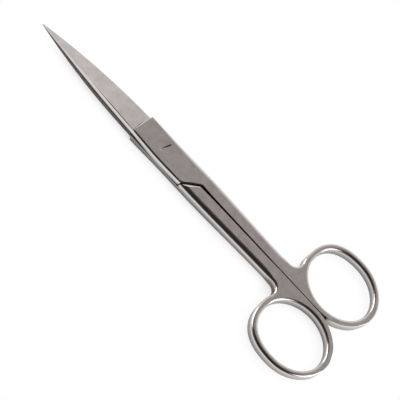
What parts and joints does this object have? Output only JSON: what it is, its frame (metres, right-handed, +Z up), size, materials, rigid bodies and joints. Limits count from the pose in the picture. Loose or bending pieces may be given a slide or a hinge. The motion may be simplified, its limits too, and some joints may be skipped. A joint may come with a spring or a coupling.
{
  "type": "operating scissors",
  "caption": "Straight operating scissors with sharp points, ground blades, slim shanks and oval finger rings, hinged on a slotted countersunk screw.",
  "frame": {"origin": "on the pivot axis, in the flat underside of the joint that the scissors lie on", "axes": "+Y runs from the pivot to the points, +X towards the finger ring of the upper half, +Z up along the pivot screw, out of its slotted head"},
  "size_m": [0.0512, 0.14, 0.005],
  "materials": {
    "satin_steel": "satin-ground flats, polished edges and rings, bevels ground across the blade",
    "screw_steel": "filed and satin-ground flush with the joint"
  },
  "bodies": {
    "lower": {"lower_half": "satin_steel", "pivot_screw": "screw_steel"},
    "upper": {"upper_half": "satin_steel"}
  },
  "joints": [
    {"name": "pivot", "type": "hinge", "parent": "lower", "child": "upper", "pos_m": [0, 0, 0.0025], "axis": [0, 0, 1], "range_deg": [0, 130]}
  ]
}
